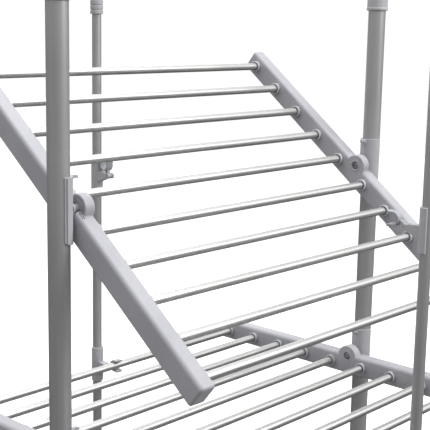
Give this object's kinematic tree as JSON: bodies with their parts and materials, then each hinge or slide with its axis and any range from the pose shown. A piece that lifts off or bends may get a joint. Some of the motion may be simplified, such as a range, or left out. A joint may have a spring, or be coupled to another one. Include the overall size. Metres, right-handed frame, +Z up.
{
  "type": "clothes drying rack",
  "caption": "Free-standing drying tower: tilting shelves of parallel rods between side posts, flip-up clips on slim end posts, and a cross-shaped base.",
  "frame": {"origin": "on the floor, midway between the four posts", "axes": "+X along the rods, from the left post to the right post; +Y from the front post to the rear post; +Z up"},
  "size_m": [0.762, 0.718, 1.385],
  "materials": {
    "post_metal": "satin",
    "rod_metal": "satin",
    "rail_plastic": "satin",
    "fitting_plastic": "satin",
    "clip_plastic": "satin",
    "screw_steel": "satin",
    "pad_rubber": "matte"
  },
  "bodies": {
    "frame": {"left_post": "post_metal", "left_post_cap": "fitting_plastic", "left_foot": "fitting_plastic", "left_arm": "post_metal", "right_post": "post_metal", "right_post_cap": "fitting_plastic", "right_foot": "fitting_plastic", "right_arm": "post_metal", "rear_post": "post_metal", "rear_post_cap": "fitting_plastic", "rear_foot": "fitting_plastic", "rear_arm": "post_metal", "front_post": "post_metal", "front_post_cap": "fitting_plastic", "front_foot": "fitting_plastic", "front_arm": "post_metal", "foot_pads": "pad_rubber", "arm_screws": "screw_steel", "base_hub": "fitting_plastic", "bottom_right_bracket": "fitting_plastic", "bottom_left_bracket": "fitting_plastic", "bottom_rear_clip_sleeve": "fitting_plastic", "bottom_front_clip_sleeve": "fitting_plastic", "middle_right_bracket": "fitting_plastic", "middle_left_bracket": "fitting_plastic", "middle_rear_clip_sleeve": "fitting_plastic", "middle_front_clip_sleeve": "fitting_plastic", "top_right_bracket": "fitting_plastic", "top_left_bracket": "fitting_plastic", "top_rear_clip_sleeve": "fitting_plastic", "top_front_clip_sleeve": "fitting_plastic", "bracket_screws": "screw_steel", "pivot_screws": "screw_steel", "clip_hinge_pins": "screw_steel", "clip_sleeve_screws": "screw_steel", "pivot_spacers": "fitting_plastic", "pivot_nuts": "screw_steel"},
    "bottom_shelf": {"bottom_left_rail": "rail_plastic", "bottom_right_rail": "rail_plastic", "bottom_rods": "rod_metal"},
    "bottom_rear_jaw": {"bottom_rear_clip_jaw": "clip_plastic"},
    "bottom_front_jaw": {"bottom_front_clip_jaw": "clip_plastic"},
    "middle_shelf": {"middle_left_rail": "rail_plastic", "middle_right_rail": "rail_plastic", "middle_rods": "rod_metal"},
    "middle_rear_jaw": {"middle_rear_clip_jaw": "clip_plastic"},
    "middle_front_jaw": {"middle_front_clip_jaw": "clip_plastic"},
    "top_shelf": {"top_left_rail": "rail_plastic", "top_right_rail": "rail_plastic", "top_rods": "rod_metal"},
    "top_rear_jaw": {"top_rear_clip_jaw": "clip_plastic"},
    "top_front_jaw": {"top_front_clip_jaw": "clip_plastic"}
  },
  "joints": [
    {"name": "bottom_shelf_tilt", "type": "hinge", "parent": "frame", "child": "bottom_shelf", "pos_m": [0, 0, 0.382], "axis": [1, 0, 0], "range_deg": [-80, 80], "deforming": ["bottom_rear_clip_jaw", "bottom_front_clip_jaw"]},
    {"name": "middle_shelf_tilt", "type": "hinge", "parent": "frame", "child": "middle_shelf", "pos_m": [0, 0, 0.728], "axis": [1, 0, 0], "range_deg": [-29, 80], "deforming": ["middle_rear_clip_jaw", "middle_front_clip_jaw"]},
    {"name": "top_shelf_tilt", "type": "hinge", "parent": "frame", "child": "top_shelf", "pos_m": [0, 0, 1.074], "axis": [1, 0, 0], "range_deg": [-118, 42], "deforming": ["top_rear_clip_jaw", "top_front_clip_jaw"]},
    {"name": "bottom_rear_jaw_flip", "type": "hinge", "parent": "frame", "child": "bottom_rear_jaw", "pos_m": [0, 0.299, 0.359], "axis": [-1, 0, 0], "range_deg": [0, 90], "deforming": ["bottom_rear_clip_jaw"]},
    {"name": "bottom_front_jaw_flip", "type": "hinge", "parent": "frame", "child": "bottom_front_jaw", "pos_m": [0, -0.299, 0.359], "axis": [1, 0, 0], "range_deg": [0, 90], "deforming": ["bottom_front_clip_jaw"]},
    {"name": "middle_rear_jaw_flip", "type": "hinge", "parent": "frame", "child": "middle_rear_jaw", "pos_m": [0, 0.299, 0.705], "axis": [-1, 0, 0], "range_deg": [0, 90], "deforming": ["middle_rear_clip_jaw"]},
    {"name": "middle_front_jaw_flip", "type": "hinge", "parent": "frame", "child": "middle_front_jaw", "pos_m": [0, -0.299, 0.705], "axis": [1, 0, 0], "range_deg": [0, 90], "deforming": ["middle_front_clip_jaw"]},
    {"name": "top_rear_jaw_flip", "type": "hinge", "parent": "frame", "child": "top_rear_jaw", "pos_m": [0, 0.299, 1.051], "axis": [-1, 0, 0], "range_deg": [-90, 0], "deforming": ["top_rear_clip_jaw"]},
    {"name": "top_front_jaw_flip", "type": "hinge", "parent": "frame", "child": "top_front_jaw", "pos_m": [0, -0.299, 1.051], "axis": [1, 0, 0], "range_deg": [0, 90], "deforming": ["top_front_clip_jaw"]}
  ]
}
